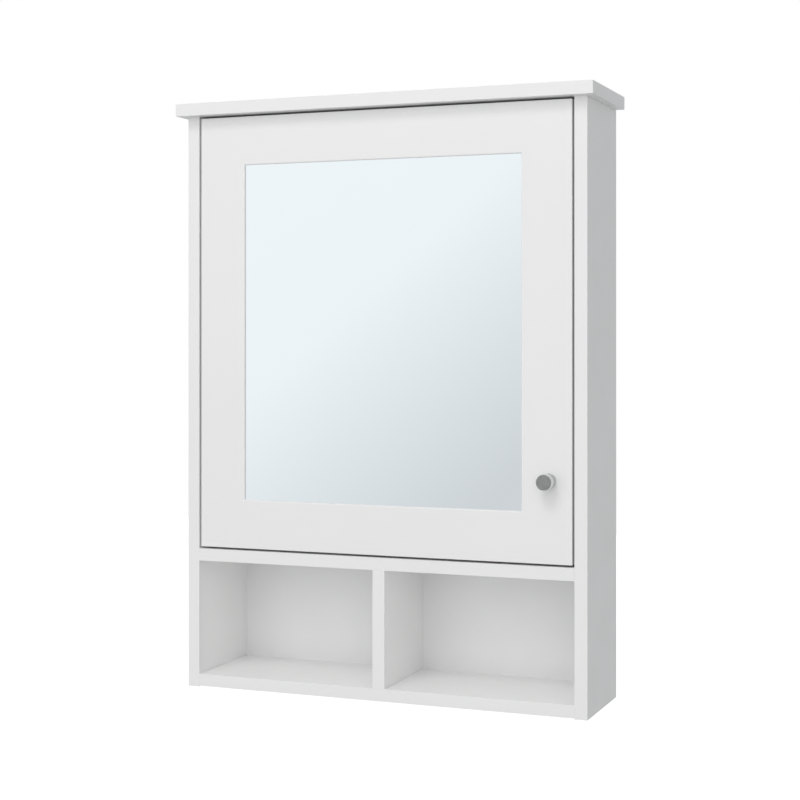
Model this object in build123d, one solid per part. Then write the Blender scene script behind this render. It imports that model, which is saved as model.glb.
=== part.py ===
"""Hanging wall cabinet: a mirror-door cupboard over two open niches.

Lengths are millimetres.  The cabinet is drawn with X across its width (0 in the middle), Y from the
front edge of the side panels (0) back to the wall, and Z up from the foot of the side panels.  On
export everything is shifted so that the origin lies on the wall, midway between the two wall screws.
"""
import os

from build123d import *

# ---- Driving dimensions -------------------------------------------------------------------------
WIDTH = 500.0               # across the side panels
HEIGHT = 700.0              # of the side panels
DEPTH = 140.0               # side panels, front edge to wall
BOARD = 15.0                # thickness of every board
TOP_SIDE_OVERHANG = 10.0
TOP_FRONT_OVERHANG = 15.0
NICHE_TOP = 155.0           # underside of the middle board
BOTTOM_LIFT = 1.0           # bottom board above the foot of the side panels
EDGE_RADIUS = 0.3           # eased board edges

BACK_THICKNESS = 3.0
BACK_REBATE = 8.0           # how far the back panel reaches over each side panel
RAIL_HEIGHT = 60.0
WALL_HOLE_SPACING = 400.0
WALL_HOLE_RADIUS = 2.5

DOOR_GAP = 2.5
DOOR_RAIL = 59.0            # width of the mirror frame on all four sides
DOOR_EDGE_RADIUS = 0.8
MIRROR_RECESS = 2.5
MIRROR_EDGE_RADIUS = 1.5    # eased front edge of the mirror opening
MIRROR_THICKNESS = 3.0
MIRROR_REBATE = 8.0
BACKING_THICKNESS = 3.0
MIRROR_PLAY = 0.7           # between the mirror and its rebate

KNOB_RADIUS = 9.25
KNOB_LENGTH = 22.0
KNOB_HEAD_LENGTH = 10.0
KNOB_NECK_RADIUS = 6.0
KNOB_FLANGE_RADIUS = 9.25
KNOB_FLANGE_THICKNESS = 2.5
KNOB_ABOVE_DOOR_FOOT = 94.0
KNOB_FROM_DOOR_EDGE = 27.0

SHELF_TOP = 442.0
SHELF_FRONT = 30.0
SHELF_REAR = 134.0
SHELF_SIDE_PLAY = 1.0
PIN_ROWS = (50.0, 118.0)    # shelf-pin rows, measured from the front edge
PIN_PITCH = 32.0
PIN_RADIUS = 2.5

HINGE_FROM_DOOR_END = 100.0
PIVOT_FROM_DOOR_EDGE = 9.5
PIVOT_FROM_DOOR_FACE = 6.2
PIVOT_PIN_RADIUS = 1.25
PIVOT_CLEARANCE = 0.05
CUP_RADIUS = 17.4
CUP_DEPTH = 12.0
CUP_WALL = 0.8
CUP_FROM_DOOR_EDGE = 22.5   # cup centre
HINGE_STEEL = 2.0

CAM_RADIUS = 7.5
CAM_DEPTH = 12.5
CAM_FROM_END = 34.0
CAM_ROWS = (30.0, 107.0)
DOWEL_ROWS = (62.0, 84.0)
DOWEL_RADIUS = 4.0
DOWEL_LENGTH = 30.0
DOWEL_IN_FACE = 10.0

# ---- Derived places -----------------------------------------------------------------------------
INNER = WIDTH / 2 - BOARD                   # inner face of a side panel
BACK_FACE = DEPTH - BACK_THICKNESS          # front face of the back panel
MIDDLE_TOP = NICHE_TOP + BOARD
BOTTOM_TOP = BOTTOM_LIFT + BOARD
RAIL_TOP = HEIGHT - BOARD
HANG_Z = RAIL_TOP - RAIL_HEIGHT / 2
DOOR_EDGE = INNER - DOOR_GAP
DOOR_FOOT = MIDDLE_TOP + DOOR_GAP
DOOR_HEAD = HEIGHT - DOOR_GAP
HINGE_HEIGHTS = {"lower": DOOR_FOOT + HINGE_FROM_DOOR_END, "upper": DOOR_HEAD - HINGE_FROM_DOOR_END}
PIVOT_X = -DOOR_EDGE + PIVOT_FROM_DOOR_EDGE
KNOB_X = DOOR_EDGE - KNOB_FROM_DOOR_EDGE
KNOB_Z = DOOR_FOOT + KNOB_ABOVE_DOOR_FOOT
CATCH_Z = 330.0
TO_WALL_ORIGIN = Location((0, -DEPTH, -HANG_Z))


# ---- Shape helpers ------------------------------------------------------------------------------
def slab(x, y, z):
    """A block between two places on each axis."""
    low = [min(pair) for pair in (x, y, z)]
    size = [abs(pair[1] - pair[0]) for pair in (x, y, z)]
    return Pos(*low) * Box(*size, align=(Align.MIN, Align.MIN, Align.MIN))


def board(x, y, z, radius=EDGE_RADIUS):
    """A block with eased edges."""
    block = slab(x, y, z)
    return fillet(block.edges(), radius)


def rod(centre, direction, radius, length):
    """A cylinder that starts at centre and runs along direction, an axis with a sign, such as '-X'."""
    turns = {"+X": (0, 90, 0), "-X": (0, -90, 0), "+Y": (-90, 0, 0), "-Y": (90, 0, 0),
             "+Z": (0, 0, 0), "-Z": (180, 0, 0)}
    base = (Align.CENTER, Align.CENTER, Align.MIN)
    return Pos(*centre) * Rot(*turns[direction]) * Cylinder(radius, length, align=base)


def step_along(centre, direction, distance):
    """The point a distance away from centre along a signed axis."""
    moved = list(centre)
    moved["XYZ".index(direction[1])] += distance if direction[0] == "+" else -distance
    return tuple(moved)


def opposite(direction):
    """The same axis with the other sign."""
    return ("-" if direction[0] == "+" else "+") + direction[1]


def cross_recess(top, axis_name, long, wide, depth):
    """The crossed slots of a driver recess, let into a face whose middle is top."""
    slots = []
    for sizes in ([long, wide], [wide, long]):
        sizes.insert("XYZ".index(axis_name), 2 * depth)
        slots.append(Pos(*top) * Box(*sizes))
    return slots


def pan_screw(seat, direction, shank_radius, length, head_radius, head_height):
    """A pan-head screw: seat is the point under its head and direction the way it is driven."""
    head = rod(seat, opposite(direction), head_radius, head_height)
    driven = Axis((0, 0, 0), step_along((0, 0, 0), direction, 1.0))
    head = fillet(head.faces().sort_by(driven)[0].edges(), head_height * 0.4)
    top = step_along(seat, opposite(direction), head_height)
    head = cut(head, cross_recess(top, direction[1], head_radius * 1.1, head_radius * 0.32,
                                  head_height * 0.55))
    return head + rod(seat, direction, shank_radius, length)


def group(solids):
    """Several separate solids kept together as one node."""
    flat = []
    for item in solids:
        flat += item.solids()
    return Compound(children=flat)


def cut(body, tools):
    """Body with every tool taken out of it."""
    for tool in tools:
        body -= tool
    return body


# ---- Carcass fittings ---------------------------------------------------------------------------
def cam_joint(edge_point, direction, face_direction):
    """Cam and bolt that pull a board end against a panel.

    edge_point is the middle of the board's end, direction points from the panel into the board and
    face_direction towards the face that the cam is let into.
    """
    centre = step_along(edge_point, direction, CAM_FROM_END)
    floor = step_along(centre, opposite(face_direction), CAM_DEPTH - BOARD / 2)
    pocket = rod(floor, face_direction, CAM_RADIUS, CAM_DEPTH)
    passage = rod(edge_point, direction, 4.0, CAM_FROM_END)
    thread_depth = 11.0
    socket = rod(step_along(edge_point, opposite(direction), thread_depth), direction, 3.0, thread_depth)
    bolt = rod(step_along(edge_point, opposite(direction), thread_depth), direction, 3.0, thread_depth)
    bolt += rod(edge_point, direction, 2.2, CAM_FROM_END - 3)
    bolt += rod(step_along(edge_point, direction, CAM_FROM_END - 4), direction, 3.2, 3.0)
    housing = rod(floor, face_direction, CAM_RADIUS - 0.1, CAM_DEPTH - 0.3)
    housing -= rod(step_along(edge_point, direction, CAM_FROM_END - 9), direction, 3.8, 12.0)
    top = step_along(floor, face_direction, CAM_DEPTH - 0.3)
    housing = cut(housing, cross_recess(top, face_direction[1], 7.0, 1.4, 2.0))
    cap = rod(step_along(floor, face_direction, CAM_DEPTH), face_direction, CAM_RADIUS + 1.3, 0.8)
    outward = Axis((0, 0, 0), step_along((0, 0, 0), face_direction, 1.0))
    cap = fillet(cap.faces().sort_by(outward)[-1].edges(), 0.35)
    return {"pocket": pocket + passage, "socket": socket, "bolt": bolt, "housing": housing, "cap": cap}


def dowel(edge_point, direction, in_face=DOWEL_IN_FACE):
    """A beech dowel across a joint: in_face of it is in the panel and the rest in the board."""
    return chamfer(rod(step_along(edge_point, opposite(direction), in_face), direction,
                       DOWEL_RADIUS, DOWEL_LENGTH).edges().filter_by(GeomType.CIRCLE), 0.8)


def carcass_joints():
    """Every cam joint and dowel, listed by the two boards they join."""
    cams = {}
    dowels = {}
    for side, sign in (("left", -1), ("right", 1)):
        inward = "+X" if sign < 0 else "-X"
        for name, centre_z, face in (("middle", NICHE_TOP + BOARD / 2, "+Z"),
                                     ("bottom", BOTTOM_LIFT + BOARD / 2, "-Z")):
            cams[name, side] = [cam_joint((sign * INNER, y, centre_z), inward, face) for y in CAM_ROWS]
            dowels[name, side] = [dowel((sign * INNER, y, centre_z), inward) for y in DOWEL_ROWS]
        middle_x = sign * (INNER + BOARD / 2)
        cams["top", side] = [cam_joint((middle_x, y, HEIGHT), "-Z", inward) for y in (45.0, 105.0)]
        dowels["top", side] = [dowel((middle_x, y, HEIGHT), "-Z") for y in (25.0, 80.0)]
        rail_y = BACK_FACE - BOARD / 2
        cams["rail", side] = [cam_joint((sign * INNER, rail_y, HANG_Z + 12), inward, "+Y")]
        dowels["rail", side] = [dowel((sign * INNER, rail_y, HANG_Z - 14), inward)]
    dowels["divider", "top"] = [dowel((0, y, NICHE_TOP), "-Z", 9.0) for y in (35.0, 100.0)]
    dowels["divider", "bottom"] = [dowel((0, y, BOTTOM_TOP), "+Z", 9.0) for y in (35.0, 100.0)]
    return cams, dowels


def back_nails():
    """Flat-head nails round the back panel, their heads flush with its rear face."""
    places = []
    side_x = INNER + BACK_REBATE / 2 - 0.5
    for z in range(60, 700, 100):
        places += [(-side_x, z), (side_x, z)]
    for z in (BOTTOM_LIFT + BOARD / 2, NICHE_TOP + BOARD / 2, RAIL_TOP - 8):
        places += [(x, z) for x in (-170.0, -60.0, 60.0, 170.0)]
    nails = []
    for x, z in places:
        head = rod((x, DEPTH, z), "-Y", 2.0, 0.8)
        nails.append(head + rod((x, DEPTH, z), "-Y", 0.7, 14.0))
    return nails


# ---- Carcass ------------------------------------------------------------------------------------
def shelf_pin_heights():
    """Hole centres of one shelf-pin row; the shelf sits on the middle one."""
    seat = SHELF_TOP - BOARD - PIN_RADIUS
    return [seat + step * PIN_PITCH for step in range(-3, 4)]


def side_panel(side, cams, dowels, nails):
    """A side panel with its rebate for the back, its joint holes and its shelf-pin rows."""
    sign = -1 if side == "left" else 1
    outward = "-X" if side == "left" else "+X"
    panel = board((sign * INNER, sign * WIDTH / 2), (0, DEPTH), (0, HEIGHT))
    panel -= slab((sign * INNER, sign * (INNER + BACK_REBATE)), (BACK_FACE, DEPTH), (0, HEIGHT))
    tools = [joint["pocket"] for joint in cams["top", side]]
    tools += dowels["top", side]
    for name in ("middle", "bottom", "rail"):
        tools += [joint["socket"] for joint in cams[name, side]] + dowels[name, side]
    for y in PIN_ROWS:
        tools += [rod((sign * INNER, y, z), outward, PIN_RADIUS, 10.0) for z in shelf_pin_heights()]
    if side == "left":
        tools += hinge_plate_screws()
    else:
        tools += catch_screws()
    return cut(panel, tools + nails)


def top_board(cams, dowels):
    """The top board, overhanging the sides and the front and flush at the wall."""
    half = WIDTH / 2 + TOP_SIDE_OVERHANG
    top = board((-half, half), (-TOP_FRONT_OVERHANG, DEPTH), (HEIGHT, HEIGHT + BOARD))
    tools = []
    for side in ("left", "right"):
        tools += [joint["socket"] for joint in cams["top", side]] + dowels["top", side]
    return cut(top, tools)


def cross_board(name, cams, dowels, nails):
    """The middle or the bottom board, between the side panels."""
    foot = NICHE_TOP if name == "middle" else BOTTOM_LIFT
    body = board((-INNER, INNER), (0, BACK_FACE), (foot, foot + BOARD))
    tools = []
    for side in ("left", "right"):
        tools += [joint["pocket"] for joint in cams[name, side]] + dowels[name, side]
    tools += dowels["divider", "top" if name == "middle" else "bottom"]
    return cut(body, tools + nails)


def niche_divider(dowels):
    """The upright that parts the two niches."""
    body = board((-BOARD / 2, BOARD / 2), (0, BACK_FACE), (BOTTOM_TOP, NICHE_TOP))
    return cut(body, dowels["divider", "top"] + dowels["divider", "bottom"])


def wall_holes():
    """The two holes that the wall screws pass through."""
    half = WALL_HOLE_SPACING / 2
    length = BOARD + BACK_THICKNESS
    return [rod((x, DEPTH, HANG_Z), "-Y", WALL_HOLE_RADIUS, length) for x in (-half, half)]


def hanging_rail(cams, dowels, nails):
    """The rail that carries the cabinet on its wall screws."""
    body = board((-INNER, INNER), (BACK_FACE - BOARD, BACK_FACE), (RAIL_TOP - RAIL_HEIGHT, RAIL_TOP))
    tools = wall_holes()
    for side in ("left", "right"):
        tools += [joint["pocket"] for joint in cams["rail", side]] + dowels["rail", side]
    return cut(body, tools + nails)


def back_panel(nails):
    """The thin back, let into the side panels and nailed all round."""
    half = INNER + BACK_REBATE - 0.5
    return cut(slab((-half, half), (BACK_FACE, DEPTH), (BOTTOM_LIFT, HEIGHT - 0.5)), nails + wall_holes())


# ---- Shelf --------------------------------------------------------------------------------------
def adjustable_shelf():
    """The loose shelf inside the cupboard."""
    half = INNER - SHELF_SIDE_PLAY
    return board((-half, half), (SHELF_FRONT, SHELF_REAR), (SHELF_TOP - BOARD, SHELF_TOP))


def shelf_pins():
    """Four steel pins with a stop collar, under the shelf's corners."""
    pins = []
    height = SHELF_TOP - BOARD - PIN_RADIUS
    for sign, inward in ((-1, "+X"), (1, "-X")):
        for y in PIN_ROWS:
            wall = (sign * INNER, y, height)
            pin = rod(step_along(wall, opposite(inward), 9.0), inward, PIN_RADIUS, 18.0)
            collar = rod(wall, inward, PIN_RADIUS + 1.5, 0.9)
            collar -= slab((-WIDTH, WIDTH), (0, DEPTH), (SHELF_TOP - BOARD, SHELF_TOP))
            tip = pin.faces().sort_by(Axis((0, 0, 0), step_along((0, 0, 0), inward, 1.0)))[-1]
            pins.append(fillet(tip.edges(), 0.8) + collar)
    return pins


# ---- Hinges -------------------------------------------------------------------------------------
PLATE_SCREW_Y = 52.0
PLATE_SCREW_SPREAD = 16.0
PLATE_BASE = 2.0
RIDGE_HEIGHT = 6.6
RIDGE_HALF = 5.2
RIDGE_FRONT = 30.0
RIDGE_REAR = 69.0
ARM_HALF = 5.5              # half the arm's width inside the cup
ARM_TAIL_HALF = 7.2
ARM_CLAMP_Y = 62.0
ARM_ADJUST_Y = 36.0
HOOK_REACH = 14.8           # arm's hook, right of the pivot
HOOK_RISE = 14.9            # and behind it


def hinge_plate_screws():
    """Two screws through the wings of each mounting plate, into the side panel."""
    screws = []
    for z in HINGE_HEIGHTS.values():
        for offset in (-PLATE_SCREW_SPREAD, PLATE_SCREW_SPREAD):
            seat = (-INNER + PLATE_BASE, PLATE_SCREW_Y, z + offset)
            screws.append(pan_screw(seat, "-X", 1.8, 13.0, 3.4, 2.0))
    return screws


def hinge_plate(z):
    """A cross-shaped mounting plate with the raised ridge that carries the arm."""
    wings = slab((-INNER, -INNER + PLATE_BASE), (PLATE_SCREW_Y - 7, PLATE_SCREW_Y + 7), (z - 23, z + 23))
    wings = fillet(wings.edges().filter_by(Axis.X), 5.0)
    ridge = slab((-INNER, -INNER + RIDGE_HEIGHT), (RIDGE_FRONT, RIDGE_REAR),
                 (z - RIDGE_HALF, z + RIDGE_HALF))
    ridge = fillet(ridge.edges().filter_by(Axis.X), 2.0)
    holes = hinge_plate_screws() + arm_screws()
    return cut(wings + ridge, holes)


def arm_screws():
    """Each arm's clamp screw and its side-adjusting screw, both driven into the plate's ridge."""
    screws = []
    web_top = -INNER + RIDGE_HEIGHT + HINGE_STEEL
    for z in HINGE_HEIGHTS.values():
        screws.append(pan_screw((web_top, ARM_CLAMP_Y, z), "-X", 2.4, 7.0, 4.2, 2.2))
        screws.append(pan_screw((web_top, ARM_ADJUST_Y, z), "-X", 2.0, 7.0, 3.0, 1.4))
    return screws


def hinge_arm(z):
    """The cranked steel arm: a channel over the plate, then a hook that reaches round into the cup."""
    web_x = -INNER + RIDGE_HEIGHT + HINGE_STEEL / 2
    pivot_line = PIVOT_FROM_DOOR_FACE - HINGE_STEEL / 2
    corner_x = PIVOT_X + HOOK_REACH
    corner_y = PIVOT_FROM_DOOR_FACE + HOOK_RISE
    path = FilletPolyline((PIVOT_X, pivot_line), (corner_x, pivot_line), (corner_x, corner_y),
                          (web_x, corner_y), (web_x, RIDGE_REAR + 2), radius=2.4)
    strip = extrude(trace(path, HINGE_STEEL), ARM_HALF, both=True)
    flange = slab((web_x - 3.6, web_x + HINGE_STEEL / 2), (RIDGE_FRONT - 2, RIDGE_REAR + 2),
                  (-ARM_TAIL_HALF, ARM_TAIL_HALF))
    flange = fillet(flange.edges().filter_by(Axis.X), 2.4)
    flange -= slab((web_x - 4, web_x - HINGE_STEEL / 2), (RIDGE_FRONT - 6, RIDGE_REAR + 6),
                   (-ARM_TAIL_HALF + 1.4, ARM_TAIL_HALF - 1.4))
    eye = rod((PIVOT_X, PIVOT_FROM_DOOR_FACE, -ARM_HALF), "+Z", 2.0, 2 * ARM_HALF)
    bore = rod((PIVOT_X, PIVOT_FROM_DOOR_FACE, -ARM_HALF - 1), "+Z",
               PIVOT_PIN_RADIUS + PIVOT_CLEARANCE, 2 * ARM_HALF + 2)
    arm = Pos(0, 0, z) * (strip + flange + eye - bore)
    return cut(arm, arm_screws())


def cup_centre(z, y):
    """A point on the axis of the hinge cup at height z."""
    return (-DOOR_EDGE + CUP_FROM_DOOR_EDGE, y, z)


def cup_screws(z):
    """The two screws that hold a cup's flange to the door."""
    x = -DOOR_EDGE + CUP_FROM_DOOR_EDGE + 9.5
    return [pan_screw((x, BOARD + 1.0, z + offset), "-Y", 1.8, 12.0, 3.4, 1.8) for offset in (-22.5, 22.5)]


def hinge_pin(z):
    """The pivot pin, held in the wall of the cup, its ends flush with the wall's outside."""
    pin = rod((PIVOT_X, PIVOT_FROM_DOOR_FACE, z - CUP_RADIUS), "+Z", PIVOT_PIN_RADIUS, 2 * CUP_RADIUS)
    return pin & rod(cup_centre(z, 0), "+Y", CUP_RADIUS, BOARD)


def hinge_cup(z):
    """The pressed steel cup with its flange, sunk into the back of the door."""
    floor_y = BOARD - CUP_DEPTH
    shell = rod(cup_centre(z, floor_y), "+Y", CUP_RADIUS, CUP_DEPTH)
    low = shell.faces().sort_by(Axis.Y)[0]
    shell = fillet(low.edges(), 1.2)
    x = cup_centre(z, 0)[0]
    flange = slab((x - CUP_RADIUS - 2, x + 16), (BOARD, BOARD + 1.0), (z - 27.5, z + 27.5))
    flange -= slab((x - CUP_RADIUS - 3, x + 1.5), (BOARD - 1, BOARD + 2), (z + 19.5, z + 30))
    flange -= slab((x - CUP_RADIUS - 3, x + 1.5), (BOARD - 1, BOARD + 2), (z - 30, z - 19.5))
    flange += rod(cup_centre(z, BOARD), "+Y", CUP_RADIUS + 2.0, 1.0)
    flange = fillet(flange.edges().filter_by(Axis.Y), 1.0)
    hollow = rod(cup_centre(z, floor_y + CUP_WALL), "+Y", CUP_RADIUS - CUP_WALL, CUP_DEPTH + 2)
    hollow = fillet(hollow.faces().sort_by(Axis.Y)[0].edges(), 0.8)
    return cut(shell + flange - hollow, cup_screws(z) + [hinge_pin(z)])


# ---- Door ---------------------------------------------------------------------------------------
def frame_opening(play):
    """Half width, foot and head of the mirror opening, grown by play on every side."""
    half = DOOR_EDGE - DOOR_RAIL + play
    return half, DOOR_FOOT + DOOR_RAIL - play, DOOR_HEAD - DOOR_RAIL + play


def clip_places():
    """Point on the rebate's edge and outward direction of each mirror clip."""
    half, foot, head = frame_opening(MIRROR_REBATE)
    places = [((x, foot), (0, -1)) for x in (-95, 95)] + [((x, head), (0, 1)) for x in (-95, 95)]
    for z in (foot + 105, head - 105):
        places += [((-half, z), (-1, 0)), ((half, z), (1, 0))]
    return places


def clip_box(place, outward, reach, y, half_width):
    """A block across a clip: reach runs outward from the rebate's edge, half_width along it."""
    spans = []
    for at, way in zip(place, outward):
        across = (at - half_width, at + half_width)
        spans.append((at + way * reach[0], at + way * reach[1]) if way else across)
    return slab(spans[0], y, spans[1])


def mirror_clips():
    """Cranked spring-steel clips: a tab screwed to the frame and a foot on the backing board."""
    seat = MIRROR_RECESS + MIRROR_THICKNESS + BACKING_THICKNESS
    clips = []
    for place, outward in clip_places():
        clip = clip_box(place, outward, (-1.0, 13.0), (BOARD, BOARD + 0.8), 6.0)
        clip += clip_box(place, outward, (-1.8, -1.0), (seat, BOARD + 0.8), 6.0)
        clip += clip_box(place, outward, (-9.0, -1.0), (seat, seat + 0.8), 6.0)
        clips.append(cut(clip, mirror_clip_screws()))
    return clips


def mirror_clip_screws():
    """One small screw for each mirror clip."""
    screws = []
    for (x, z), (out_x, out_z) in clip_places():
        seat = (x + 7 * out_x, BOARD + 0.8, z + 7 * out_z)
        screws.append(pan_screw(seat, "-Y", 1.3, 9.5, 2.8, 1.3))
    return screws


def knob_screw():
    """The machine screw that draws the knob on from behind."""
    return pan_screw((KNOB_X, BOARD, KNOB_Z), "-Y", 2.0, 26.0, 4.4, 2.6)


def door_knob():
    """A turned metal knob: a cylindrical head on a narrower neck, with a round flange on the door."""
    neck_length = KNOB_LENGTH - KNOB_HEAD_LENGTH
    head = rod((KNOB_X, -neck_length, KNOB_Z), "-Y", KNOB_RADIUS, KNOB_HEAD_LENGTH)
    head = fillet(head.faces().sort_by(Axis.Y)[0].edges(), 0.8)
    head = chamfer(head.faces().sort_by(Axis.Y)[-1].edges(), 0.4)
    neck = rod((KNOB_X, 0, KNOB_Z), "-Y", KNOB_NECK_RADIUS, neck_length)
    flange = rod((KNOB_X, 0, KNOB_Z), "-Y", KNOB_FLANGE_RADIUS, KNOB_FLANGE_THICKNESS)
    flange = fillet(flange.faces().sort_by(Axis.Y)[0].edges(), 0.5)
    return head + neck + flange - knob_screw()


def door_frame():
    """The one-piece mirror frame: front opening, rear rebate, hinge-cup pockets and screw holes."""
    frame = board((-DOOR_EDGE, DOOR_EDGE), (0, BOARD), (DOOR_FOOT, DOOR_HEAD), DOOR_EDGE_RADIUS)
    half, foot, head = frame_opening(0)
    frame -= slab((-half, half), (-1, BOARD + 1), (foot, head))
    rim = frame.faces().sort_by(Axis.Y)[0].inner_wires()[0]
    frame = fillet(rim.edges(), MIRROR_EDGE_RADIUS)
    half, foot, head = frame_opening(MIRROR_REBATE)
    frame -= slab((-half, half), (MIRROR_RECESS, BOARD + 1), (foot, head))
    tools = [rod(cup_centre(z, BOARD - CUP_DEPTH), "+Y", CUP_RADIUS + 0.1, CUP_DEPTH + 1)
             for z in HINGE_HEIGHTS.values()]
    for z in HINGE_HEIGHTS.values():
        tools += cup_screws(z)
    return cut(frame, tools + mirror_clip_screws() + [knob_screw(), strike_screw()])


def mirror_pane(front, thickness):
    """A pane that fits the frame's rebate."""
    half, foot, head = frame_opening(MIRROR_REBATE - MIRROR_PLAY)
    return slab((-half, half), (front, front + thickness), (foot, head))


# ---- Magnetic catch -----------------------------------------------------------------------------
STRIKE_THICKNESS = 1.0
CATCH_FRONT = BOARD + STRIKE_THICKNESS
CATCH_X = (INNER - 13.0, INNER)
CATCH_Y = (CATCH_FRONT + 1.2, CATCH_FRONT + 17.0)
CATCH_HALF = 12.0


def catch_screws():
    """Two screws through the catch's ears, into the right side panel."""
    y = CATCH_Y[0] + 8.0
    return [pan_screw((INNER - 2.5, y, CATCH_Z + offset), "+X", 1.5, 12.0, 2.9, 1.6)
            for offset in (-17.5, 17.5)]


def catch_magnet():
    """The magnet block and its two pole plates, seen at the front of the catch."""
    x_middle = (CATCH_X[0] + CATCH_X[1]) / 2
    block = slab((x_middle - 2.5, x_middle + 2.5), (CATCH_FRONT + 0.8, CATCH_Y[1] - 3),
                 (CATCH_Z - 9, CATCH_Z + 9))
    poles = [slab((x_middle + low, x_middle + low + 1.2), (CATCH_FRONT, CATCH_Y[1] - 3),
                  (CATCH_Z - 9, CATCH_Z + 9)) for low in (-3.7, 2.5)]
    return [block] + poles


def catch_case():
    """The catch's plastic case with an ear above and below."""
    case = slab(CATCH_X, CATCH_Y, (CATCH_Z - CATCH_HALF, CATCH_Z + CATCH_HALF))
    case = fillet(case.edges().filter_by(Axis.X), 1.2)
    ears = slab((INNER - 2.5, INNER), (CATCH_Y[0] + 2, CATCH_Y[1] - 2), (CATCH_Z - 23, CATCH_Z + 23))
    ears = fillet(ears.edges().filter_by(Axis.X), 3.0)
    return cut(case + ears, catch_magnet() + catch_screws())


def strike_screw():
    """The screw in the middle of the strike plate."""
    x = (CATCH_X[0] + CATCH_X[1]) / 2 - 16
    return pan_screw((x, CATCH_FRONT, CATCH_Z), "-Y", 1.3, 9.0, 2.6, 1.2)


def strike_plate():
    """The steel plate on the door that the magnet holds."""
    x_middle = (CATCH_X[0] + CATCH_X[1]) / 2
    plate = slab((x_middle - 22, DOOR_EDGE - 1.0), (BOARD, CATCH_FRONT), (CATCH_Z - 8, CATCH_Z + 8))
    plate = fillet(plate.edges().filter_by(Axis.Y), 2.0)
    return plate - strike_screw()


# ---- Assembly -----------------------------------------------------------------------------------
def build():
    """Every node of the cabinet, by name."""
    cams, dowels = carcass_joints()
    nails = back_nails()
    all_cams = [joint for joints in cams.values() for joint in joints]
    capped = [joint for key, joints in cams.items() if key[0] != "rail" for joint in joints]
    seat = MIRROR_RECESS + MIRROR_THICKNESS
    nodes = {
        "side_panel_left": side_panel("left", cams, dowels, nails),
        "side_panel_right": side_panel("right", cams, dowels, nails),
        "top_board": top_board(cams, dowels),
        "middle_board": cross_board("middle", cams, dowels, nails),
        "bottom_board": cross_board("bottom", cams, dowels, nails),
        "niche_divider": niche_divider(dowels),
        "hanging_rail": hanging_rail(cams, dowels, nails),
        "back_panel": back_panel(nails),
        "back_panel_nails": group(nails),
        "wood_dowels": group([item for items in dowels.values() for item in items]),
        "cam_bolts": group([joint["bolt"] for joint in all_cams]),
        "cam_housings": group([joint["housing"] for joint in all_cams]),
        "cam_caps": group([joint["cap"] for joint in capped]),
        "adjustable_shelf": adjustable_shelf(),
        "shelf_pins": group(shelf_pins()),
        "hinge_plate_screws": group(hinge_plate_screws()),
        "hinge_arm_screws": group(arm_screws()),
        "door_frame": door_frame(),
        "mirror_glass": mirror_pane(MIRROR_RECESS, MIRROR_THICKNESS),
        "mirror_backing": mirror_pane(seat, BACKING_THICKNESS),
        "mirror_clips": group(mirror_clips()),
        "mirror_clip_screws": group(mirror_clip_screws()),
        "door_knob": door_knob(),
        "knob_screw": knob_screw(),
        "catch_case": catch_case(),
        "catch_magnet": group(catch_magnet()),
        "catch_screws": group(catch_screws()),
        "strike_plate": strike_plate(),
        "strike_screw": strike_screw(),
    }
    for level, z in HINGE_HEIGHTS.items():
        nodes["hinge_plate_" + level] = hinge_plate(z)
        nodes["hinge_arm_" + level] = hinge_arm(z)
        nodes["hinge_cup_" + level] = hinge_cup(z)
        nodes["hinge_pin_" + level] = hinge_pin(z)
        nodes["hinge_cup_screws_" + level] = group(cup_screws(z))
    return nodes


os.makedirs("parts", exist_ok=True)
for node_name, node_shape in build().items():
    export_step(node_shape.moved(TO_WALL_ORIGIN), "parts/" + node_name + ".step")
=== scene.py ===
"""The hanging wall cabinet's looks: materials, fine detail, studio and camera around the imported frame."""
import math

import bpy
from mathutils import Euler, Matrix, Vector


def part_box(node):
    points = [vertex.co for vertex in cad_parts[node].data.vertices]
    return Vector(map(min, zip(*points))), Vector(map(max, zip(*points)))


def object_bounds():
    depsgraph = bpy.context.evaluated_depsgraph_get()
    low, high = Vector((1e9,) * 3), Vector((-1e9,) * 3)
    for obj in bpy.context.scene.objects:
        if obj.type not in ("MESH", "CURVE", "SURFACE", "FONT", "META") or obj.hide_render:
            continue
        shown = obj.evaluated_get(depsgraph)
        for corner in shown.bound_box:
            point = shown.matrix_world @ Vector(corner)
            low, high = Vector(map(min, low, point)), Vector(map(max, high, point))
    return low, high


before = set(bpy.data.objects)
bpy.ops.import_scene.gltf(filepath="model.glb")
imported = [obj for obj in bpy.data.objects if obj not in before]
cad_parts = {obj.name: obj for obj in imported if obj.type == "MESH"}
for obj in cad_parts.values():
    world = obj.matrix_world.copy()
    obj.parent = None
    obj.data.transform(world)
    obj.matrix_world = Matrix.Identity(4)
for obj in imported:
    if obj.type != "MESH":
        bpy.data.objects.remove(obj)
CAD_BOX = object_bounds()

# ---- Studio, in metres, in the cabinet's own frame ----------------------------------------------
CAMERA_PLACE = (0.7303, -2.0659, -0.2269)
CAMERA_TURN = 23.33          # degrees that the camera looks to the left of straight ahead
CAMERA_TILT = 0.07
CAMERA_LENS = 78.76
CAMERA_SHIFT = (0.125, -0.08)
FLOOR_DROP = 1.4             # floor below the cabinet's foot, as it hangs above a basin
FLOOR_REACH = 14.0           # half the floor's side
FLOOR_GLOW = 0.70            # keeps the floor white to its far edge
WORLD_LIGHT = 0.455
KEY_PLACE = (-0.1, -2.9, 2.8)
KEY_SIZE = (1.5, 1.2)
KEY_POWER = 35.0
FRONT_PLACE = (0.1, -3.1, 0.3)
FRONT_SIZE = (4.0, 3.0)
FRONT_POWER = 40.5
NICHE_POWER = 0.021          # each of the two fills at the niche openings
NICHE_FILL_GAP = 0.001       # how far a fill stands in front of the boards
NICHE_FILL_MARGINS = (0.02, 0.006)

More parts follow.
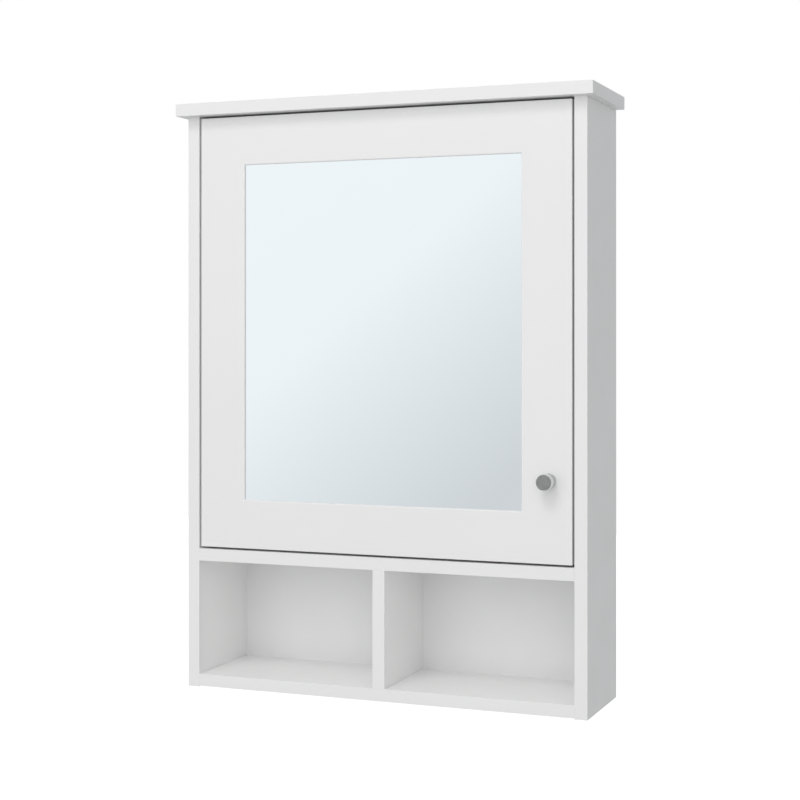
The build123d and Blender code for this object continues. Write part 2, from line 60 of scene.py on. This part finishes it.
# The room that reflections see: greys along a slope in the sky, between two places on that slope.
REFLECTION_SLOPE = (1.0, 0.0, -1.065)
REFLECTION_SPAN = (-0.7, 0.9)
REFLECTION_GREYS = (
    (0.0, (0.93, 0.965, 0.985)),
    (0.196, (0.885, 0.935, 0.965)),
    (0.315, (0.645, 0.675, 0.705)),
    (0.6, (0.72, 0.745, 0.77)),
    (1.0, (0.85, 0.87, 0.885)),
)

# ---- Surfaces, in metres and colours ------------------------------------------------------------
WHITE = (0.905, 0.905, 0.902)
LACQUER_EDGE = 0.0011        # width of the worn line on a lacquered edge
PLATED_EDGE = 0.0004         # width of the rubbed line on a plated edge
PLATED_GRAIN = 420.0
PLATED_SCRATCH = 0.05
POLE_THICKNESS = 0.00125     # each steel plate beside the catch's ferrite
KNOB_END_DEPTH = 0.001       # what lies this near the knob's front belongs to its end face


# ---- Node helpers -------------------------------------------------------------------------------
def fill_ramp(node, stops):
    """Gives a colour ramp node its (position, colour) stops."""
    elements = node.color_ramp.elements
    while len(elements) < len(stops):
        elements.new(0.5)
    for element, (position, colour) in zip(elements, stops):
        element.position = position
        element.color = (*colour, 1.0)


class Shader:
    """A material under construction: its tree, its Principled shader and short ways to add nodes."""

    def __init__(self, name):
        self.material = bpy.data.materials.new(name)
        self.material.use_nodes = True
        self.tree = self.material.node_tree
        self.principled = self.tree.nodes["Principled BSDF"]
        self.place = self.add("ShaderNodeTexCoord").outputs["Object"]

    def add(self, kind, **settings):
        node = self.tree.nodes.new(kind)
        for key, value in settings.items():
            setattr(node, key, value)
        return node

    def feed(self, socket, value):
        """Links an output to a socket, or sets the socket to a plain value."""
        if isinstance(value, bpy.types.NodeSocket):
            self.tree.links.new(value, socket)
        else:
            socket.default_value = value

    def set(self, **values):
        """Principled inputs by name, with underscores for spaces."""
        for key, value in values.items():
            self.feed(self.principled.inputs[key.replace("_", " ")], value)

    def math(self, operation, first, second=0.0):
        node = self.add("ShaderNodeMath", operation=operation)
        self.feed(node.inputs[0], first)
        self.feed(node.inputs[1], second)
        return node.outputs[0]

    def stretch(self, scale, offset=(0, 0, 0)):
        """Object coordinates moved and scaled axis by axis."""
        node = self.add("ShaderNodeMapping")
        self.feed(node.inputs["Vector"], self.place)
        node.inputs["Location"].default_value = offset
        node.inputs["Scale"].default_value = scale
        return node.outputs["Vector"]

    def noise(self, scale, detail=2.0, roughness=0.5, vector=None):
        node = self.add("ShaderNodeTexNoise")
        self.feed(node.inputs["Vector"], vector or self.place)
        node.inputs["Scale"].default_value = scale
        node.inputs["Detail"].default_value = detail
        node.inputs["Roughness"].default_value = roughness
        return node.outputs["Fac"]

    def ramp(self, factor, *stops):
        """A colour ramp through (position, colour) stops."""
        node = self.add("ShaderNodeValToRGB")
        self.feed(node.inputs["Fac"], factor)
        fill_ramp(node, stops)
        return node.outputs["Color"]

    def spread(self, factor, low, high, start=0.3, end=0.7):
        """Factor between start and end, carried over to low and high."""
        node = self.add("ShaderNodeMapRange")
        self.feed(node.inputs["Value"], factor)
        for key, value in (("From Min", start), ("From Max", end), ("To Min", low), ("To Max", high)):
            node.inputs[key].default_value = value
        return node.outputs["Result"]

    def mix(self, factor, first, second):
        node = self.add("ShaderNodeMix", data_type="RGBA")
        self.feed(node.inputs["Factor"], factor)
        for socket, value in zip((node.inputs[6], node.inputs[7]), (first, second)):
            self.feed(socket, value if isinstance(value, bpy.types.NodeSocket) else (*value, 1.0))
        return node.outputs[2]

    def facing(self, axis):
        """The surface normal's component along X, Y or Z of the piece itself, however it is turned."""
        turned = self.add("ShaderNodeVectorTransform", vector_type="NORMAL",
                          convert_from="WORLD", convert_to="OBJECT")
        self.feed(turned.inputs[0], self.add("ShaderNodeNewGeometry").outputs["True Normal"])
        split = self.add("ShaderNodeSeparateXYZ")
        self.feed(split.inputs[0], turned.outputs[0])
        return split.outputs[axis]

    def edges(self, radius):
        """One along sharp edges, falling to zero on the faces beside them."""
        bevel = self.add("ShaderNodeBevel", samples=4)
        bevel.inputs["Radius"].default_value = radius
        dot = self.add("ShaderNodeVectorMath", operation="DOT_PRODUCT")
        self.feed(dot.inputs[0], bevel.outputs["Normal"])
        self.feed(dot.inputs[1], self.add("ShaderNodeNewGeometry").outputs["Normal"])
        return self.spread(dot.outputs["Value"], 1.0, 0.0, 0.90, 0.995)

    def bump(self, *layers):
        """Bumps stacked from (height, strength, distance) layers."""
        normal = None
        for height, strength, distance in layers:
            node = self.add("ShaderNodeBump")
            node.inputs["Strength"].default_value = strength
            node.inputs["Distance"].default_value = distance
            self.feed(node.inputs["Height"], height)
            if normal:
                self.feed(node.inputs["Normal"], normal)
            normal = node.outputs["Normal"]
        self.set(Normal=normal)


# ---- Materials ----------------------------------------------------------------------------------
def white_lacquer(name, shade):
    """Satin white lacquer on fibreboard: faint orange peel, handling marks and softly worn edges."""
    s = Shader(name)
    cloud = s.noise(6.0, 3.0)
    tone = s.ramp(cloud, (0.3, [c * 0.985 for c in shade]), (0.7, shade))
    worn = s.math("MULTIPLY", s.edges(LACQUER_EDGE), s.spread(s.noise(38.0, 4.0), 0.05, 0.55))
    s.set(Base_Color=s.mix(worn, tone, [c * 0.93 for c in shade]))
    marks = s.noise(21.0, 6.0, 0.62)
    s.set(Roughness=s.spread(marks, 0.30, 0.43), Specular_IOR_Level=0.42)
    s.bump((s.noise(620.0, 2.0), 0.05, 0.0003), (s.noise(34.0, 1.0), 0.05, 0.001))
    return s.material


def back_board_look():
    """The back panel: white foil towards the niches, bare brown hardboard towards the wall."""
    s = Shader("foiled_hardboard")
    fibres = s.noise(900.0, 4.0, 0.7, s.stretch((1.0, 1.0, 0.55)))
    clumps = s.noise(60.0, 5.0, 0.6)
    brown = s.ramp(fibres, (0.30, (0.165, 0.092, 0.045)), (0.52, (0.26, 0.155, 0.08)),
                   (0.72, (0.37, 0.235, 0.13)))
    brown = s.mix(s.spread(clumps, 0.0, 0.45), brown, (0.20, 0.115, 0.058))
    foil = s.ramp(s.noise(9.0, 3.0), (0.3, (0.765, 0.767, 0.765)), (0.7, (0.785, 0.787, 0.785)))
    rear = s.math("GREATER_THAN", s.facing("Y"), 0.5)
    s.set(Base_Color=s.mix(rear, foil, brown))
    s.set(Roughness=s.math("ADD", s.spread(clumps, 0.36, 0.46), s.math("MULTIPLY", rear, 0.36)))
    s.bump((fibres, 0.10, 0.0002))
    return s.material


def hardboard_look():
    """Bare brown hardboard with pressed fibres."""
    s = Shader("bare_hardboard")
    fibres = s.noise(800.0, 5.0, 0.7, s.stretch((0.6, 1.0, 1.0)))
    clumps = s.noise(48.0, 5.0, 0.65)
    brown = s.ramp(fibres, (0.28, (0.12, 0.066, 0.033)), (0.5, (0.215, 0.125, 0.064)),
                   (0.75, (0.32, 0.20, 0.11)))
    s.set(Base_Color=s.mix(s.spread(clumps, 0.0, 0.4), brown, (0.16, 0.09, 0.047)))
    s.set(Roughness=s.spread(clumps, 0.62, 0.80))
    s.bump((fibres, 0.25, 0.0003))
    return s.material


def mirror_look():
    """Silvered glass: a clear front with the faintest wiping marks, green-tinged edges, grey back."""
    s = Shader("silvered_glass")
    front = s.math("LESS_THAN", s.facing("Y"), -0.5)
    back = s.math("GREATER_THAN", s.facing("Y"), 0.5)
    paint = s.ramp(s.noise(80.0, 4.0), (0.3, (0.20, 0.215, 0.215)), (0.7, (0.25, 0.265, 0.262)))
    silver = s.ramp(s.noise(3.0, 2.0), (0.3, (0.935, 0.955, 0.955)), (0.7, (0.95, 0.965, 0.965)))
    edge = s.ramp(s.noise(300.0, 2.0), (0.3, (0.20, 0.42, 0.34)), (0.7, (0.32, 0.56, 0.46)))
    s.set(Base_Color=s.mix(front, s.mix(back, edge, paint), silver))
    s.set(Metallic=front)
    wiped = s.noise(14.0, 6.0, 0.68, s.stretch((1.0, 1.0, 0.25)))
    glassy = s.spread(wiped, 0.008, 0.03)
    s.set(Roughness=s.math("ADD", glassy, s.math("MULTIPLY", back, 0.5)))
    s.bump((s.noise(5.0, 1.0), 0.01, 0.0004))
    return s.material


def plated(name, colour, rough):
    """Plated or bare metal: fine grain, hairline scratches and slightly rubbed edges."""
    s = Shader(name)
    cloud = s.noise(95.0, 4.0, 0.6)
    dull = [c * 0.88 for c in colour]
    bright = [min(1.0, c * 1.06) for c in colour]
    rubbed = [min(1.0, c * 1.2) for c in colour]
    tone = s.ramp(cloud, (0.28, dull), (0.72, bright))
    lines = s.noise(PLATED_GRAIN, 3.0, 0.6, s.stretch((1.0, 1.0, 0.06)))
    s.set(Base_Color=s.mix(s.math("MULTIPLY", s.edges(PLATED_EDGE), 0.5), tone, rubbed))
    s.set(Metallic=1.0, Roughness=s.spread(cloud, rough * 0.8, rough * 1.25))
    pits = s.noise(PLATED_GRAIN * 3, 2.0)
    s.bump((lines, PLATED_SCRATCH, 0.00008), (pits, PLATED_SCRATCH * 0.6, 0.00005))
    return s.material


def cast_zinc():
    """Grainy die-cast zinc."""
    s = Shader("die_cast_zinc")
    grain = s.noise(1500.0, 4.0, 0.7)
    s.set(Base_Color=s.ramp(grain, (0.3, (0.30, 0.30, 0.31)), (0.7, (0.47, 0.47, 0.475))))
    s.set(Metallic=0.9, Roughness=s.spread(s.noise(300.0, 3.0), 0.36, 0.55))
    s.bump((grain, 0.25, 0.00012))
    return s.material


def beech_look():
    """Beech with its short dark flecks, grain along each dowel."""
    s = Shader("beech")
    grain = s.noise(260.0, 4.0, 0.6, s.stretch((0.12, 1.0, 1.0)))
    flecks = s.noise(900.0, 2.0, 0.5, s.stretch((0.2, 1.0, 1.0)))
    wood = s.ramp(grain, (0.3, (0.47, 0.29, 0.155)), (0.7, (0.63, 0.43, 0.26)))
    s.set(Base_Color=s.mix(s.spread(flecks, 0.0, 0.55, 0.60, 0.70), wood, (0.30, 0.165, 0.08)))
    s.set(Roughness=s.spread(grain, 0.52, 0.68))
    s.bump((grain, 0.2, 0.0002))
    return s.material


def moulded_plastic():
    """White moulded plastic with a fine spark-eroded texture."""
    s = Shader("moulded_plastic")
    grain = s.noise(2400.0, 2.0)
    s.set(Base_Color=s.ramp(s.noise(60.0, 3.0), (0.3, (0.72, 0.72, 0.705)), (0.7, (0.76, 0.76, 0.745))))
    s.set(Roughness=s.spread(grain, 0.40, 0.52), Specular_IOR_Level=0.45)
    s.bump((grain, 0.12, 0.00008))
    return s.material


def ferrite_look():
    """Dark ferrite between two steel pole plates, told apart by how far from the middle they lie."""
    s = Shader("ferrite_and_poles")
    grain = s.noise(1800.0, 4.0, 0.7)
    split = s.add("ShaderNodeSeparateXYZ")
    s.feed(split.inputs[0], s.place)
    low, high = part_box("catch_magnet")
    middle = (low.x + high.x) / 2
    away = s.math("ABSOLUTE", s.math("SUBTRACT", split.outputs["X"], middle))
    pole = s.math("GREATER_THAN", away, (high.x - low.x) / 2 - POLE_THICKNESS)
    dark = s.ramp(grain, (0.3, (0.022, 0.022, 0.024)), (0.7, (0.05, 0.05, 0.053)))
    steel = s.ramp(grain, (0.3, (0.50, 0.50, 0.51)), (0.7, (0.60, 0.60, 0.61)))
    s.set(Base_Color=s.mix(pole, dark, steel), Metallic=pole)
    s.set(Roughness=s.spread(grain, 0.34, 0.55))
    s.bump((grain, 0.15, 0.0001))
    return s.material


def turned_metal():
    """The knob's metal: a brushed end with turning rings, a satin flange and polished sides."""
    s = Shader("turned_metal")
    low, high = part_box("door_knob")
    middle = (low + high) / 2
    radius = s.add("ShaderNodeVectorMath", operation="LENGTH")
    s.feed(radius.inputs[0], s.stretch((1.0, 0.0, 1.0), (-middle.x, 0.0, -middle.z)))
    depth = s.add("ShaderNodeSeparateXYZ")
    s.feed(depth.inputs[0], s.place)
    turning = s.add("ShaderNodeCombineXYZ")
    s.feed(turning.inputs["X"], radius.outputs["Value"])
    s.feed(turning.inputs["Y"], depth.outputs["Y"])
    rings = s.noise(2600.0, 3.0, 0.7, turning.outputs["Vector"])
    smears = s.noise(170.0, 3.0, 0.6)
    forward = s.math("LESS_THAN", s.facing("Y"), -0.9)
    at_end = s.math("LESS_THAN", depth.outputs["Y"], low.y + KNOB_END_DEPTH)
    end = s.math("MULTIPLY", forward, at_end)
    side_tone = s.ramp(rings, (0.3, (0.66, 0.66, 0.655)), (0.7, (0.73, 0.73, 0.725)))
    end_tone = s.ramp(s.math("MULTIPLY", s.math("ADD", rings, smears), 0.5),
                      (0.36, (0.285, 0.279, 0.271)), (0.64, (0.392, 0.384, 0.373)))
    flange = s.math("MULTIPLY", forward, s.math("SUBTRACT", 1.0, at_end))
    s.set(Base_Color=s.mix(end, side_tone, end_tone), Metallic=s.spread(flange, 1.0, 0.5, 0.0, 1.0))
    s.set(Roughness=s.math("ADD", s.spread(smears, 0.04, 0.08), s.math("MULTIPLY", forward, 0.27)))
    s.bump((rings, 0.10, 0.00006))
    return s.material


def dress_frame():
    """Every CAD node's material."""
    door_white = white_lacquer("lacquer_door", WHITE)
    case_white = white_lacquer("lacquer_carcass", WHITE)
    nickel = plated("nickel_plate", (0.62, 0.60, 0.565), 0.24)
    zinc = plated("zinc_plate", (0.58, 0.585, 0.60), 0.30)
    spring = plated("spring_steel", (0.50, 0.50, 0.515), 0.34)
    looks = {
        "door_frame": door_white,
        "back_panel": back_board_look(),
        "mirror_backing": hardboard_look(),
        "mirror_glass": mirror_look(),
        "door_knob": turned_metal(),
        "wood_dowels": beech_look(),
        "cam_housings": cast_zinc(),
        "catch_magnet": ferrite_look(),
        "mirror_clips": spring,
        "strike_plate": nickel,
    }
    plastic = moulded_plastic()
    for node in ("cam_caps", "catch_case"):
        looks[node] = plastic
    for node in ("side_panel_left", "side_panel_right", "top_board", "middle_board", "bottom_board",
                 "niche_divider", "hanging_rail", "adjustable_shelf"):
        looks[node] = case_white
    for level in ("lower", "upper"):
        for piece in ("plate", "arm", "cup"):
            looks["hinge_" + piece + "_" + level] = nickel
        looks["hinge_pin_" + level] = zinc
        looks["hinge_cup_screws_" + level] = zinc
    for node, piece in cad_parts.items():
        look = looks.get(node, zinc)
        piece.data.materials.clear()
        piece.data.materials.append(look)


# ---- Studio -------------------------------------------------------------------------------------
def aim(piece, place, target):
    """Puts a lamp at place, turned towards target."""
    piece.location = place
    piece.rotation_euler = (Vector(target) - Vector(place)).to_track_quat("-Z", "Y").to_euler()


def add_lamp(name, place, target, size, power):
    lamp = bpy.data.lights.new(name, "AREA")
    lamp.shape = "RECTANGLE"
    lamp.size, lamp.size_y = size
    lamp.energy = power
    piece = bpy.data.objects.new(name, lamp)
    bpy.context.collection.objects.link(piece)
    piece.visible_camera = False
    piece.visible_glossy = False
    aim(piece, place, target)


def add_sheet(name, corners):
    """A flat four-cornered stage piece."""
    mesh = bpy.data.meshes.new(name)
    mesh.from_pydata(corners, [], [(0, 1, 2, 3)])
    piece = bpy.data.objects.new(name, mesh)
    bpy.context.collection.objects.link(piece)
    return piece


def add_world():
    """White for the camera, a gentler white for lighting, and soft slopes of grey for reflections."""
    world = bpy.data.worlds.new("studio")
    bpy.context.scene.world = world
    world.use_nodes = True
    tree = world.node_tree
    tree.nodes.clear()
    rays = tree.nodes.new("ShaderNodeLightPath")

    def background(strength):
        sky = tree.nodes.new("ShaderNodeBackground")
        sky.inputs["Color"].default_value = (1.0, 1.0, 1.0, 1.0)
        sky.inputs["Strength"].default_value = strength
        return sky

    def choose(ray_kind, otherwise, chosen):
        blend = tree.nodes.new("ShaderNodeMixShader")
        tree.links.new(rays.outputs[ray_kind], blend.inputs[0])
        tree.links.new(otherwise.outputs[0], blend.inputs[1])
        tree.links.new(chosen.outputs[0], blend.inputs[2])
        return blend

    direction = tree.nodes.new("ShaderNodeTexCoord")
    slope = tree.nodes.new("ShaderNodeVectorMath")
    slope.operation = "DOT_PRODUCT"
    slope.inputs[1].default_value = REFLECTION_SLOPE
    tree.links.new(direction.outputs["Generated"], slope.inputs[0])
    span = tree.nodes.new("ShaderNodeMapRange")
    span.inputs["From Min"].default_value, span.inputs["From Max"].default_value = REFLECTION_SPAN
    tree.links.new(slope.outputs["Value"], span.inputs["Value"])
    ramp = tree.nodes.new("ShaderNodeValToRGB")
    fill_ramp(ramp, REFLECTION_GREYS)
    tree.links.new(span.outputs["Result"], ramp.inputs["Fac"])
    reflected = background(1.0)
    tree.links.new(ramp.outputs["Color"], reflected.inputs["Color"])

    lighting = choose("Is Glossy Ray", background(WORLD_LIGHT), reflected)
    seen = choose("Is Camera Ray", lighting, background(1.0))
    output = tree.nodes.new("ShaderNodeOutputWorld")
    tree.links.new(seen.outputs[0], output.inputs["Surface"])


def add_floor():
    """A wide pale floor, well below the cabinet."""
    z = CAD_BOX[0].z - FLOOR_DROP
    corners = ((-1, -1), (1, -1), (1, 1), (-1, 1))
    floor = add_sheet("floor", [(x * FLOOR_REACH, y * FLOOR_REACH, z) for x, y in corners])
    s = Shader("floor")
    s.set(Base_Color=s.ramp(s.noise(1.5, 3.0), (0.3, (0.90, 0.90, 0.90)), (0.7, (0.92, 0.92, 0.92))))
    s.set(Roughness=0.9, Emission_Color=(1.0, 1.0, 1.0, 1.0), Emission_Strength=FLOOR_GLOW)
    floor.data.materials.append(s.material)
    floor.visible_diffuse = False
    floor.visible_glossy = False


def add_niche_fills():
    """A weak soft light across each niche's opening, shining inwards only."""
    low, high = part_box("bottom_board")
    foot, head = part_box("niche_divider")
    z = (foot.z + head.z) / 2
    size = (high.x - NICHE_FILL_MARGINS[0], head.z - foot.z - NICHE_FILL_MARGINS[1])
    for name, x in (("niche_fill_left", low.x / 2), ("niche_fill_right", high.x / 2)):
        place = (x, low.y - NICHE_FILL_GAP, z)
        inwards = (x, low.y + 1.0, z)
        add_lamp(name, place, inwards, size, NICHE_POWER)


def add_camera():
    lens = bpy.data.cameras.new("camera")
    lens.lens = CAMERA_LENS
    lens.sensor_width = 36.0
    lens.shift_x, lens.shift_y = CAMERA_SHIFT
    lens.clip_end = 60.0
    camera = bpy.data.objects.new("camera", lens)
    bpy.context.collection.objects.link(camera)
    camera.location = CAMERA_PLACE
    camera.rotation_euler = Euler((math.radians(90 + CAMERA_TILT), 0.0, math.radians(CAMERA_TURN)))
    bpy.context.scene.camera = camera


def build_studio():
    bpy.context.scene.view_settings.view_transform = "Standard"
    add_world()
    add_floor()
    middle = (CAD_BOX[0] + CAD_BOX[1]) / 2
    add_lamp("key", KEY_PLACE, middle, KEY_SIZE, KEY_POWER)
    add_lamp("front", FRONT_PLACE, middle, FRONT_SIZE, FRONT_POWER)
    add_niche_fills()
    add_camera()


dress_frame()
build_studio()
